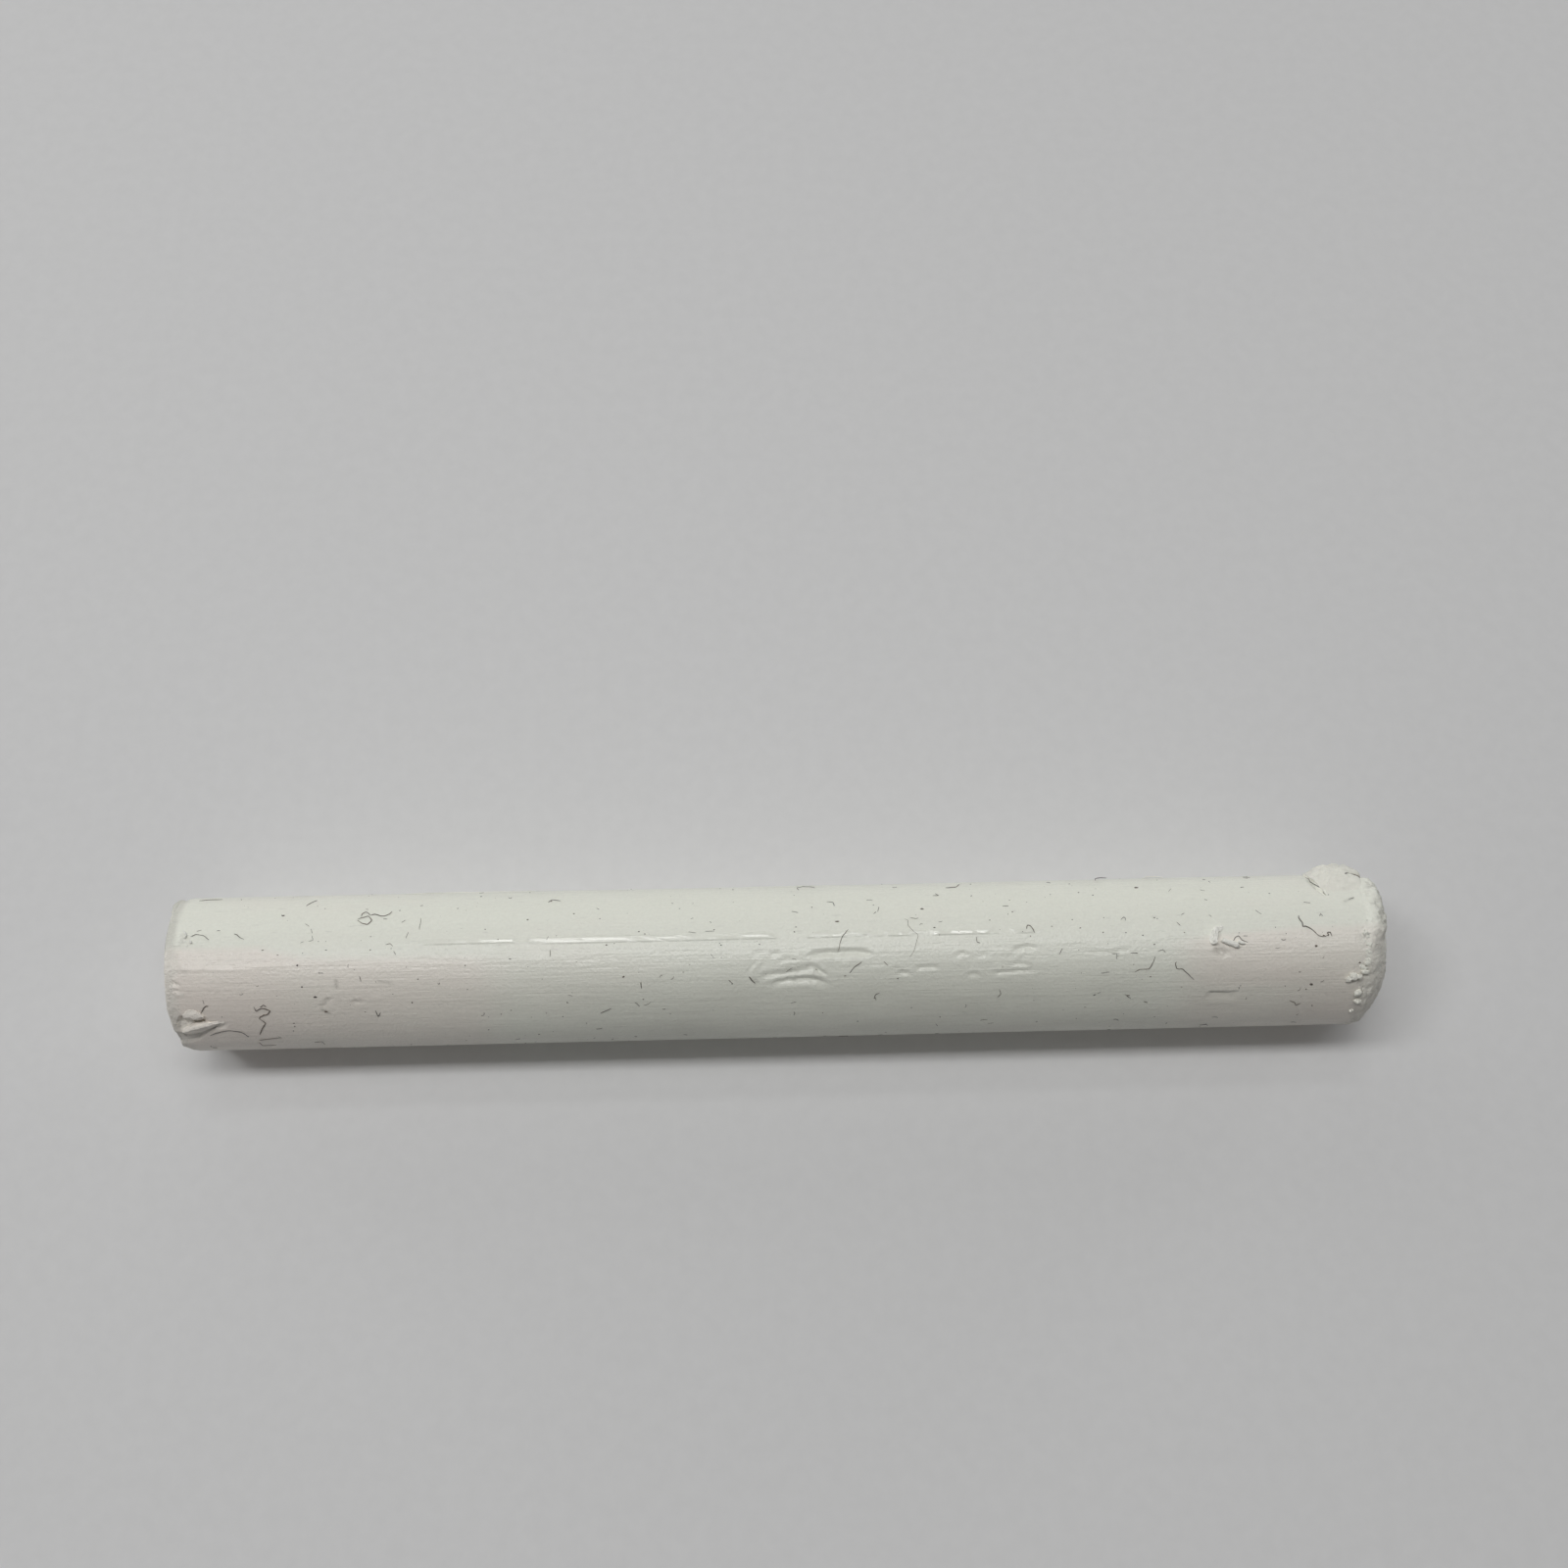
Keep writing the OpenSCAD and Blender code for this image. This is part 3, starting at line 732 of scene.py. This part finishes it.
def white_material(name, on_body, at_end=0.0, torn_least=0.6, brighter=False):
    """Waxy warm white, satin where it is smooth and matt where it is torn."""
    material, tree, shader = nodes_of(name)
    at = add(tree, "ShaderNodeTexCoord").outputs["Object"]
    lines = noise(tree, stretched(tree, at, (40, 1400, 1400)), 5.0, 1.0)
    lines_wide = noise(tree, stretched(tree, at, (60, 500, 500)), 5.0, 1.0)
    dapple = noise(tree, at, 5200.0, 2.0)
    cloud = noise(tree, stretched(tree, at, (60, 150, 150)), 1.0, 4.0)
    dashes = noise(tree, stretched(tree, at, (900, 3600, 3600)), 1.0, 1.0)
    grain = noise(tree, at, 5200.0, 3.0, 0.7)
    if on_body:
        torn, stain_and_shade, polish, warm = (
            add(tree, "ShaderNodeAttribute", attribute_name=key).outputs["Fac"]
            for key in ("torn", "stain_and_shade", "polish", "warm")
        )
    else:
        torn = span(tree, grain, 0.0, 1.0, torn_least, torn_least + 0.2)
        stain_and_shade, polish, warm = 0.0, 0.0, at_end

    uneven = span(tree, cloud, 0.3, 0.7, -0.25, 0.25)
    warm = math_node(tree, "ADD", uneven, warm)
    # the brighter choice is a lighter copy of the white: a painted highlight for raised bits that catch the
    # light
    plain = (0.95, 0.95, 0.88, 1) if brighter else (0.875, 0.885, 0.79, 1)
    # the warmer white is a painted shade tint, with random unevenness added
    tint = mix_colour(tree, warm, plain, (0.905, 0.83, 0.755, 1))
    matt = (0.865, 0.85, 0.775, 1) if on_body else (0.87, 0.845, 0.77, 1)
    tint = mix_colour(tree, math_node(tree, "MULTIPLY", torn, 0.6), tint, matt)
    tint = mix_colour(tree, span(tree, dashes, 0.7, 0.8, 0.0, 0.2), tint, (0.45, 0.44, 0.4, 1))
    tint = mix_colour(tree, span(tree, dapple, 0.3, 0.7, 0.0, 0.1), tint, (0.5, 0.49, 0.44, 1))
    # darkened by the smudges and by the painted shade
    tint = mix_colour(tree, stain_and_shade, tint, (0.24, 0.23, 0.19, 1))
    tree.links.new(tint, shader.inputs["Base Color"])

    satin = span(tree, lines, 0.35, 0.65, 0.44, 0.54)
    satin = math_node(tree, "SUBTRACT", satin, math_node(tree, "MULTIPLY", polish, 0.42))
    roughness = math_node(tree, "MULTIPLY_ADD", torn, 0.35)
    tree.links.new(satin, roughness.node.inputs[2])
    tree.links.new(roughness, shader.inputs["Roughness"])
    shader.inputs["Coat Weight"].default_value = 0.35 if on_body or torn_least < 0.5 else 0.1
    shader.inputs["Coat Roughness"].default_value = 0.16
    shader.inputs["IOR"].default_value = 1.46

    height = math_node(tree, "ADD", lines, math_node(tree, "MULTIPLY", lines_wide, 1.2))
    height = math_node(tree, "ADD", height, math_node(tree, "MULTIPLY", dapple, 1.6))
    torn_height = math_node(tree, "MULTIPLY", math_node(tree, "MULTIPLY", grain, torn), 4.0)
    height = math_node(tree, "ADD", height, torn_height)
    if on_body:
        height = math_node(tree, "MULTIPLY", height, math_node(tree, "SUBTRACT", 1.0, polish))
    bump = add(tree, "ShaderNodeBump", {"Height": height, "Strength": 1.0, "Distance": 0.000025})
    tree.links.new(bump.outputs[0], shader.inputs["Normal"])
    if on_body:
        tree.links.new(bump.outputs[0], shader.inputs["Coat Normal"])
    return material


def lint_material(name, dark, brown, pale, roughness=0.8):
    """Grey and brown lint, lighter here and there."""
    material, tree, shader = nodes_of(name)
    at = add(tree, "ShaderNodeTexCoord").outputs["Object"]
    kind = noise(tree, at, 260.0, 1.0)
    along_it = noise(tree, at, 2600.0, 2.0)
    tint = mix_colour(tree, span(tree, kind, 0.4, 0.6), dark, brown)
    tint = mix_colour(tree, span(tree, along_it, 0.45, 0.75, 0, 0.5), tint, pale)
    tree.links.new(tint, shader.inputs["Base Color"])
    shader.inputs["Roughness"].default_value = roughness
    return material


white = white_material("white_stick", True)
torn_white = white_material("torn_white", False, 0.2)
# the tongue lies on the shaded lower side and gets nearly the full painted shade tint
torn_white_left = white_material("torn_white_warm", False, 0.9)
# a lighter copy of the white for the shaving curl: painted highlight
brighter_white = white_material("brighter_white", False, 0, 0.3, True)
lint = lint_material("lint", (0.09, 0.085, 0.08, 1), (0.16, 0.13, 0.1, 1), (0.3, 0.28, 0.26, 1))
dirt = lint_material("dirt", (0.1, 0.095, 0.085, 1), (0.16, 0.13, 0.1, 1), (0.26, 0.24, 0.2, 1))

# -------- the pieces
verts, faces, layers = stick_mesh()
body = new_object("stick_body", verts, faces, white, **layers)


def flap_height(x, v):
    """Highest along the tongue's ridge, and falling off to the edge below it."""
    turn = np.degrees(v / RADIUS)
    ridge_at = np.interp(x, [-39.5, -38.8, -37.7, -36.4], [60, 56.4, 53.6, 52.6])
    below = arc_mm(turn - ridge_at)
    tall = 0.38 * smooth(-36.2, -38.2, x) * smooth(-39.9, -38.9, x) + 0.02
    return np.where(below > 0, tall - 0.68 * below, tall + 0.6 * below)


flap = shell(
    [
        (-39.4, 63), (-39.2, 57.4), (-38.4, 53.8), (-37.4, 51.8), (-36.3, 51.8),
        (-36.7, 55), (-37.5, 61), (-38.3, 67), (-39.1, 69),
    ],
    flap_height, sink=0.4, rings=14, per=8, roughness=0.025, size=0.35, seed=51,
)
knot = shell(
    [(-39, 46), (-38.9, 43), (-38.6, 41), (-38.2, 41.4), (-37.8, 44), (-37.6, 47), (-38, 49), (-38.6, 47.6)],
    lambda x, v: 0.04 + 0.18 * np.exp(-(((np.degrees(v / RADIUS) - 45.5) / 3) ** 2)),
    sink=0.3, rings=12, roughness=0.04, size=0.3, seed=52,
)
torn_flap = new_object("torn_tongue", *join([flap, knot]), torn_white_left)


def flake_height(x, v):
    """Lifts towards the far side; sinks into the stick at its near and outer borders."""
    turn = np.degrees(v / RADIUS)
    swell = smooth(-32, -68, turn) * smooth(35.3, 36.7, x) * smooth(39.3, 37.4, x) * smooth(-97, -80, turn)
    rise = 0.62 * swell
    near = 0.06 * smooth(-30, -46, turn) - 0.12 * smooth(-44, -26, turn)
    past = turn - np.interp(x, [37.3, 37.8, 38.3, 38.9], [-54, -57, -57, -58])
    span_x = smooth(37.1, 37.4, x) * smooth(39.1, 38.7, x)
    crack = span_x * (0.1 * smooth(0, -2.5, past) - 0.12 * np.exp(-((past / 1.1) ** 2)))
    place_3d = np.stack([x, v, 0 * x], -1)
    broken = 0.12 * crumble(place_3d, 0.55, 73) + 0.05 * crumble(place_3d, 0.24, 74)
    return rise + near + crack - 0.2 * smooth(38.2, 39.2, x) + broken * (0.15 + swell)


flake = shell(
    [
        (35.6, -46), (35.45, -60), (35.5, -76), (36.6, -92), (38, -94), (39.1, -80),
        (39.3, -62), (39.1, -44), (38.6, -28), (37, -22), (36, -30),
    ],
    flake_height, sink=0.4, rings=34, per=14, roughness=0.025, size=0.5, seed=53,
)
flake_white = white_material("flake_white", False, 0.2, 0.12)
lifted_flake = new_object("lifted_flake_skin", *flake, flake_white)

curl = shell(
    [(27.75, 2), (27.95, -2), (28.2, -3), (28.25, 0), (28.15, 4), (28.1, 8), (27.85, 9), (27.7, 6)],
    lambda x, v: 0.05 + 0.32 * smooth(27.7, 28.15, x), sink=0.2, rings=12, roughness=0.03, size=0.25, seed=54,
)
leaf = shell(
    [(28.1, -2), (28.5, -5), (28.75, -4), (28.6, -2), (28.3, 0)],
    lambda x, v: 0.14 - 0.2 * (x - 28.2), sink=0.15, rings=8, roughness=0.02, size=0.25, seed=55,
)
edge_roll = tube([(28.2, -2.5), (28.05, 1), (28, 5), (27.95, 8)], 0.12, 0.24, 10, 8)
crumb = tube([(28.5, 5.6), (28.8, 7.4), (29.2, 9), (29.6, 11)], 0.17, 0.12, 12, 10)
crumb_2 = tube([(29.5, 7.4), (29.7, 8), (30, 9)], 0.1, 0.08, 10, 8)
crumb_3 = lump(28.6, 6.8, 0.1, 0.14, (1.2, 0.9, 1), seed=5, bumps=0.2)
shaving = join([curl, leaf, edge_roll, crumb, crumb_2, crumb_3])
lifted_shaving = new_object("lifted_shaving_curl", *shaving, brighter_white)

# Crumbs on the rubbed end's rim: x, turn, how proud, half size, stretch
CRUMBS = [
    (36.8, 37.4, 0.1, 0.2, (1.1, 1, 0.9)),
    (37.1, 35.2, 0.12, 0.24, (1.1, 1, 1)),
    (37.5, 35.4, 0.08, 0.19, (1.2, 0.9, 0.9)),
    (37.9, 32, 0.02, 0.2, (1.3, 0.9, 0.8)),
    (37.6, 49, 0.06, 0.23, (1.1, 0.9, 0.9)),
    (37.7, 57, 0.06, 0.21, (1.2, 0.8, 0.9)),
    (37.5, 68, 0.0, 0.15, (1, 1, 0.8)),
]
# The same for low lumps along the rim, which are rougher
RIM_LUMPS = [
    (37.9, 3, -0.03, 0.17, (1.3, 1.5, 0.6)),
    (38.1, 6, -0.03, 0.14, (1.2, 1.6, 0.6)),
    (37.8, 9, -0.03, 0.13, (1.3, 1.4, 0.6)),
    (38.1, 12, -0.03, 0.17, (1.2, 1.6, 0.6)),
    (38.1, 18, -0.03, 0.17, (1.1, 1.7, 0.6)),
    (38, 24, -0.03, 0.18, (1.3, 1.5, 0.6)),
    (37.8, 29, -0.03, 0.18, (1.4, 1.3, 0.6)),
]
rim_bits = [lump(*row, seed) for seed, row in enumerate(CRUMBS, 11)]
rim_bits += [lump(*row, seed, 0.6) for seed, row in enumerate(RIM_LUMPS, 11 + len(CRUMBS))]
rim_crumbs = new_object("rim_crumb_bits", *join(rim_bits), torn_white)

# Lint that sticks to the wax: half thickness in mm, then lines in (x, turn)
FIBRES = [
    (0.029, [
        [(-34.2, 39), (-34.1, 43), (-33.7, 41), (-33.2, 43), (-33.4, 46), (-33.9, 48), (-34, 50)],
        [(-34, 50), (-33.6, 54), (-33.9, 59), (-34.2, 66)],
        [(-37.8, 44), (-37.6, 40), (-37.4, 38), (-37.2, 38)],
        [(-27.7, -28), (-27.4, -30), (-27.1, -31), (-26.8, -27), (-27, -23), (-27.4, -24), (-27.7, -27)],
        [(-27.5, -31), (-27.5, -34), (-27.3, -36), (-27.1, -34), (-27, -32)],
        [(-27, -32), (-26.7, -33), (-26.3, -31), (-26, -31), (-25.7, -33), (-25.6, -36)],
        [(11, -53), (11.7, -54), (12, -61)],
        [(33.7, -12), (33.7, -10), (33.9, -6), (33.9, -3), (34.1, -3), (34.5, 0), (34.8, 4), (35.2, 5)],
        [(35.2, 5), (35.5, 4), (35.4, 2), (35.6, 2), (35.7, 5)],
        [(15.9, -6), (16, -9), (16.2, -8), (16.4, -3)],
        [(25.5, 21), (25.4, 23), (25.5, 26), (25.9, 27), (26.3, 31), (26.6, 35)],
    ]),
    (0.023, [
        [(-37.6, 66), (-36.8, 62), (-36.1, 61), (-35.4, 63), (-35, 69)],
        [(-33.8, 40), (-33.6, 38), (-33.4, 40)], [(-31.4, -46), (-30.9, -55)],
        [(-38.3, -15), (-38, -17), (-37.5, -16), (-37.1, -12)],
        [(-35.6, -17), (-35.3, -15), (-34.9, -12)], [(-26.4, 45), (-26.3, 50), (-26.1, 47)],
        [(-15.4, -43), (-15.2, -47), (-14.6, -45)], [(4.3, -9), (3.9, -4), (3.7, 2), (3.6, 8)],
        [(5.1, 16), (4.6, 20), (4.3, 24)], [(6.2, 40), (6, 41), (5.9, 43), (6, 46)],
        [(12.6, -1), (12.6, 3), (12.8, 4)], [(14, 39), (14.1, 43), (13.9, 46)],
        [(22.8, 28), (23.1, 26), (23.7, 26), (23.9, 22), (24.1, 17)],
        [(29.1, 9), (29.4, 4), (29.6, 3), (29.8, 6), (30.2, 8)],
        [(33, 55), (33.4, 57), (33.5, 60), (33.8, 58)], [(-9.2, 27), (-9.2, 32)],
        [(-3.5, 27), (-3.3, 30)],
    ]),
    (0.018, [
        [(-34.4, 74), (-33.6, 72), (-32.9, 71)], [(-34.5, 78), (-34.4, 84), (-33.5, 84)],
        [(-30.9, 80), (-30.4, 79), (-30.3, 85)], [(-38, -20), (-37.7, -21)], [(-36.7, -20), (-36.5, -20)],
        [(-26.1, -28), (-25.8, -28)], [(-25.7, -5), (-25.4, -6), (-25.2, -4)], [(-25.1, 0), (-25, 3)],
        [(-27.3, 18), (-27.2, 22)], [(-23.6, -28), (-23.6, -22), (-23.6, -17)],
        [(-24.8, -24), (-24.6, -26)], [(-24.3, -15), (-24.4, -10)], [(-15, 2), (-15, 7)],
        [(-11.9, 52), (-11.2, 48)], [(-8, 24), (-7.8, 22)], [(0.2, 22), (0.6, 19)],
        [(6.5, 16), (6.8, 19)], [(6, -22), (6.2, -24)], [(6.4, -29), (6.3, -24)],
        [(8.4, -18), (8.7, -17), (8.9, -17)], [(10, -41), (10.4, -41), (10.2, -44)],
        [(14.5, -27), (14.9, -27)], [(22.1, -12), (22.3, -14), (22.4, -13), (22.4, -11)],
        [(21.3, 14), (21.8, 14)], [(21.6, 14), (21.6, 18)], [(22.5, 14), (23, 14)],
        [(20.6, 28), (21.1, 28)], [(24.3, 13), (24.6, 12), (24.8, 14)],
        [(22.2, 46), (22.4, 48), (22.6, 50)], [(20.1, 46), (20.3, 45)], [(26.1, -15), (26.3, -16)],
        [(25.7, -9), (25.9, -6)], [(29.9, 3), (30.2, 3)], [(31.2, -65), (31.6, -62)],
        [(35.1, -11), (35.2, -13), (35.3, -11)], [(37.2, -26), (37.6, -28)], [(34.3, -24), (34.7, -23)],
        [(-29.9, 15), (-29.6, 15)], [(3, -36), (3.4, -35), (3.5, -31)],
    ]),
    (0.014, [
        [(8, -17), (8.2, -15), (8.2, -11), (8.5, -7), (8.8, -3), (8.7, 2), (8.5, 9), (8.2, 13)],
        [(-31.1, -25), (-30.8, -22)], [(-30.7, -20), (-30.5, -16)],
        [(-30.5, -14), (-30.4, -10), (-30.7, -9)], [(-31, -9), (-31.2, -8)], [(-6.1, -10), (-5.6, -9)],
        [(-5, -10), (-4.4, -10)],
    ]),
    (0.02, [
        [(1.2, -55), (1.1, -61), (1.5, -65), (2, -64), (2.3, -60)],
        [(-38.6, -60), (-37.9, -62), (-37.2, -62)],
    ]),
    (0.034, [
        [(-2.2, 25), (-2, 28), (-1.8, 30)], [(35.1, 4), (35.3, 5)],
    ]),
]

# Specks: half size in mm, then places as (x, turn)
SPECKS = [
    (0.075, [(3.6, -16), (9.2, -26), (34.6, 12), (23.6, -46)]),
    (0.06, [
        (0.8, -8), (0.9, -12), (-3.3, 30), (-32.7, -34), (-31.3, 9), (-31, 25), (34.6, 61),
        (34.3, 41), (-30.2, 33), (20.2, 46), (22.4, 47), (-10.3, 23), (37.5, 25), (4, 26), (-24, 39),
        (5.9, 44), (-15.2, -45), (9.9, -9), (-29.6, 45), (-31.8, 58),
    ]),
    (0.042, [
        (7.4, 29), (-31, 0), (-33.6, -3), (-32.6, 1), (-29.5, -2), (-29.9, 15), (-31.8, 55), (-25.1, -37),
        (-21.3, -38), (-26.7, -12), (-25.2, 32), (-19.3, -16), (-16.6, -24), (-13.6, -29), (-11.4, -1),
        (-9.3, -11), (-8.9, -9), (-6.7, -32), (-3.2, -60), (-20, -56), (-20.5, 12), (-17.6, 8), (-14, 42),
        (-19.3, 67), (-16.1, 75), (10.2, -3), (15.1, -21), (14.8, -19), (17.8, -39), (20.6, -37), (21, -14),
        (24.3, -13), (23.4, 1), (19.4, -6), (19.3, -56), (25.3, -61), (24.1, 8), (23.8, 32), (33.5, 31),
        (34, 45), (32.6, 42), (38.1, -7), (38.5, -6), (-25.3, -2), (21.7, 16), (19.3, 28), (31.5, -67),
    ]),
]


def scattered(rng, count):
    """Places all round the stick, but not on the strip that it rests on."""
    x = rng.uniform(-38.4, 37.4, count)
    turn = rng.uniform(-164, 164, count)
    return zip(x.tolist(), turn.tolist())


def wander(rng, x, turn, lengths, headings, bends, count, jitter=0, limit=360):
    """A short random line: `count` steps that bend evenly, and by the jitter besides."""
    long, heading = rng.uniform(*lengths), rng.normal(0, headings)
    bend, points = rng.normal(0, bends), [(x, turn)]
    for _ in range(count):
        x += long / count * math.cos(heading)
        turn += math.degrees(long / count * math.sin(heading) / RADIUS)
        heading += bend + rng.normal(0, jitter) if jitter else bend
        points.append((x, min(max(turn, -limit), limit)))
    return points


def lint_bits():
    """The listed fibres, and a fixed scatter of others all round."""
    rng = np.random.default_rng(7)
    parts = [tube(points, half, half * 0.7) for half, lines in FIBRES for points in lines]
    parts.append(tube([(21.1, -58), (21.2, -64), (21.6, -68), (22, -66)], 0.026, 0.14))
    # dark lint strands along the flake's crack and the crease beside it: painted shade in these cracks
    parts.append(tube([(37.3, -53), (37.9, -56), (38.3, -55), (38.8, -57)], 0.04, flake_height))
    crack = [(35.2, -64), (35.4, -57), (35.35, -50), (35.6, -43), (35.9, -36), (35.95, -32)]
    parts.append(tube(crack, 0.024, -0.03))
    for x, turn in scattered(rng, 170):
        points = wander(rng, x, turn, (0.12, 0.5), 0.9, 0.5, 3)
        parts.append(tube(points, rng.uniform(0.012, 0.022), 0.006, 5, 3))
    for x, turn in scattered(rng, 34):
        if turn > 95 or turn < -75:
            points = wander(rng, x, turn, (0.8, 2.2), 1.2, 0.6, 4, jitter=0.5, limit=166)
            parts.append(tube(points, rng.uniform(0.022, 0.034), 0.016))
    return join(parts)


def specks():
    rng = np.random.default_rng(9)
    parts = []
    for half, places in SPECKS:
        for x, turn in places:
            stretch = (rng.uniform(0.7, 1.9), rng.uniform(0.5, 1.1), 0.5)
            parts.append(lump(x, turn, 0.0, half, stretch, 100 + len(parts), 0.5, 6, 8))
    for x, turn in scattered(rng, 460):
        half = 0.016 + 0.034 * rng.random() ** 2
        parts.append(lump(x, turn, -0.004, half, (1.2, 0.9, 0.5), 100 + len(parts), 0.3, 5, 6))
    return join(parts)


fibres = new_object("lint_fibres", *lint_bits(), lint)
pale_lint = lint_material("pale_lint", (0.82, 0.82, 0.76, 1), (0.86, 0.85, 0.8, 1), (0.9, 0.9, 0.88, 1), 0.15)
# Pale fibres: line in (x, turn), half thickness, how proud
PALE_FIBRES = [
    ([(24.2, -60), (24.7, -65), (25.3, -66), (25.7, -62)], 0.04, 0.16),
    ([(-25.2, -68), (-22, -70), (-18.4, -70), (-16.5, -69)], 0.035, 0.03),
    ([(-38.8, -20), (-38.6, -16), (-38.7, -13)], 0.06, 0.09),
    ([(-38.3, -12), (-38.2, -9)], 0.07, 0.08),
]
pale_fibres = new_object("pale_fibres", *join([tube(*row) for row in PALE_FIBRES]), pale_lint)
dots = new_object("lint_specks", *specks(), dirt)

for piece, node, slot in (
    (body, "stick", "white_stick"),
    (torn_flap, "torn_flap", "torn_white"),
    (lifted_flake, "lifted_flake", "torn_white"),
    (lifted_shaving, "lifted_shaving", "torn_white"),
    (rim_crumbs, "rim_crumbs", "torn_white"),
):
    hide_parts(node)
    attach(piece, "root")
for piece in (fibres, pale_fibres, dots):
    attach(piece, "root")

# -------- floor, light, camera
floor_material, tree, shader = nodes_of("floor")
at = add(tree, "ShaderNodeTexCoord").outputs["Object"]
grain = noise(tree, at, 900.0, 2.0)
tint = mix_colour(tree, span(tree, grain, 0.3, 0.7), (0.635, 0.635, 0.635, 1), (0.655, 0.655, 0.655, 1))
tree.links.new(tint, shader.inputs["Base Color"])
shader.inputs["Roughness"].default_value = 0.6
# a faint glow from the floor: painted light that lifts the shadows on it and under the stick
shader.inputs["Emission Color"].default_value = (1, 0.96, 0.9, 1)
shader.inputs["Emission Strength"].default_value = 0.038
FLOOR_R, FLOOR_SIDES, FLOOR_GAP = 1100, 96, 0.01
around = [math.tau * i / FLOOR_SIDES for i in range(FLOOR_SIDES)]
edge = [(FLOOR_R * math.cos(a), FLOOR_R * math.sin(a), -FLOOR_GAP) for a in around]
floor = new_object("floor", edge, [tuple(range(FLOOR_SIDES))], floor_material)


def lamp(name, middle, size_x, size_y, radiance, aim=None, spin=0):
    """A soft rectangular lamp with its middle in mm, facing down or at a point."""
    data = bpy.data.lights.new(name, "AREA")
    data.shape = "RECTANGLE"
    data.size, data.size_y = size_x * MM, size_y * MM
    data.energy = radiance * math.pi * data.size * data.size_y
    obj = bpy.data.objects.new(name, data)
    obj.location = Vector(middle) * MM
    facing = Vector(middle) - Vector(aim) if aim else Vector((0, 0, 1))
    obj.rotation_euler = facing.to_track_quat("Z", "Y").to_euler()
    obj.rotation_euler.z += math.radians(spin)
    obj.visible_camera = False
    bpy.context.scene.collection.objects.link(obj)


CEILING, STICK_MIDDLE = 700, (0, 0, 5)
lamp("strip_far_left", (-460, 80, CEILING), 270, 110, 14.6)
lamp("strip_left", (-225, 80, CEILING), 200, 110, 6.6)
lamp("strip_middle", (-25, 82, CEILING), 200, 115, 9)
lamp("strip_right", (220, 80, CEILING), 290, 110, 5.5)
lamp("strip_edge", (-115, -30, CEILING), 700, 60, 0.5)
lamp("strip_behind", (-110, 185, CEILING), 380, 80, 2.2)
lamp("streak", (-20, 350, CEILING), 285, 48, 8, spin=-9)
lamp("back", (-150, 760, 450), 620, 240, 0.9, aim=STICK_MIDDLE)
lamp("window", (-1260, 1260, 250), 640, 480, 3.6, aim=STICK_MIDDLE)
lamp("window_left", (-1680, 600, 250), 640, 480, 2, aim=STICK_MIDDLE)
lamp("window_right", (1260, 1260, 250), 640, 480, 4.2, aim=STICK_MIDDLE)

world = bpy.data.worlds.new("studio")
world.use_nodes = True
world.node_tree.nodes["Background"].inputs[0].default_value = (0.95, 0.97, 1.0, 1)
world.node_tree.nodes["Background"].inputs[1].default_value = 0.075
bpy.context.scene.world = world
bpy.context.scene.view_settings.view_transform = "Standard"

camera = bpy.data.cameras.new("camera")
camera.sensor_width, camera.lens = 36.0, 39.6
camera.clip_start, camera.clip_end = 0.001, 10.0
view = bpy.data.objects.new("camera", camera)
view.location = (-0.85 * MM, -30.27 * MM, 118.0 * MM)
view.rotation_euler = [math.radians(a) for a in (20.9, -0.12, -1.38)]
bpy.context.scene.collection.objects.link(view)
bpy.context.scene.camera = view
